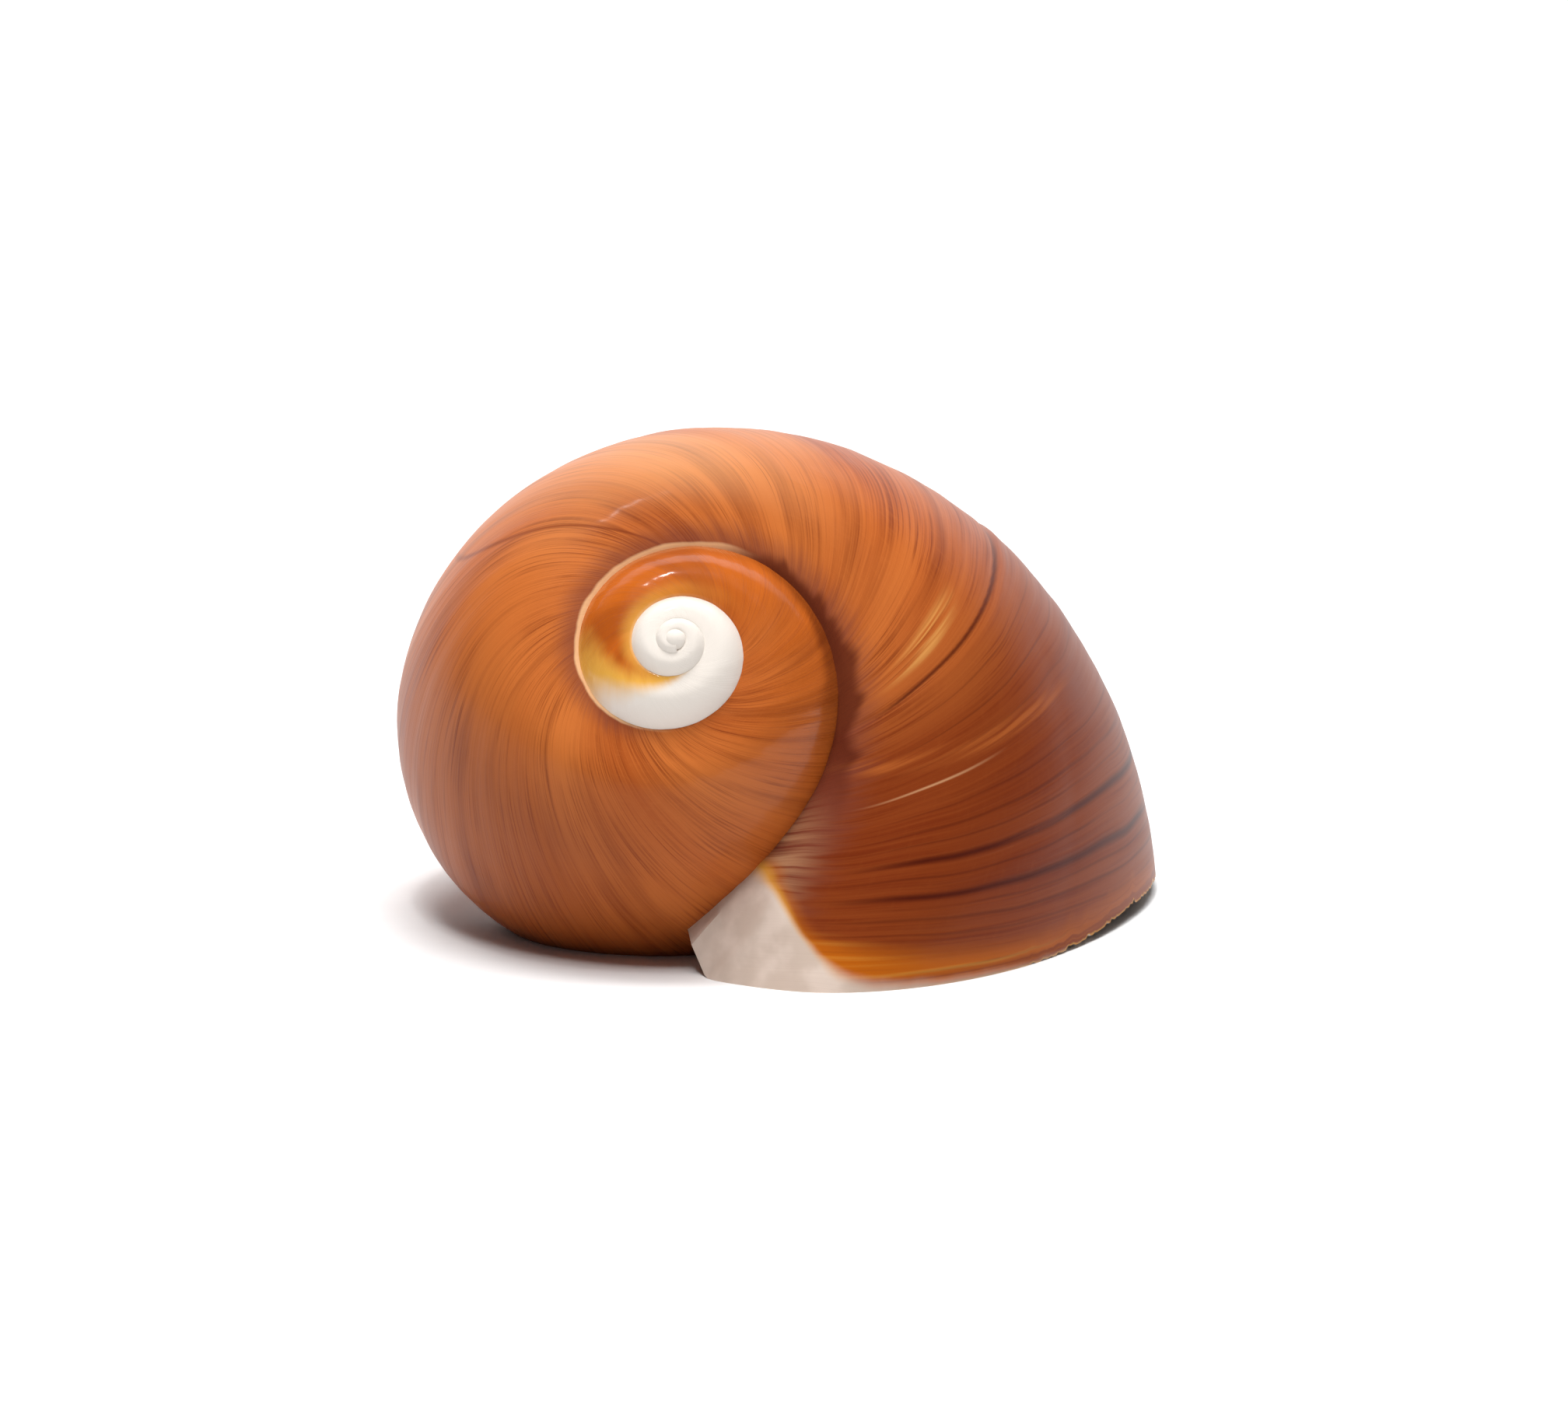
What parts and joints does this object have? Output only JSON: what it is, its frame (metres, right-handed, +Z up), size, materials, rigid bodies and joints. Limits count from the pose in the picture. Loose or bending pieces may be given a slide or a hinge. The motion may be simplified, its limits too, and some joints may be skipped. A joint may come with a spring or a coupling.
{
  "type": "moon snail shell",
  "caption": "Globose coiled sea snail shell with a low spire, glossy orange-brown outside and a pale callus, resting on its wide aperture.",
  "frame": {"origin": "bottom centre of the shell's bounding box, on the surface it rests on", "axes": "+Z up; -Y is the front, which the apex faces; +X is across the shell, toward the outer lip"},
  "size_m": [0.042, 0.037, 0.0265],
  "materials": {
    "shell_glaze": "glossy orange-brown shell with fine growth lines, white early whorls and a grey-white callus"
  },
  "bodies": {
    "root": {"shell": "shell_glaze"}
  },
  "joints": []
}
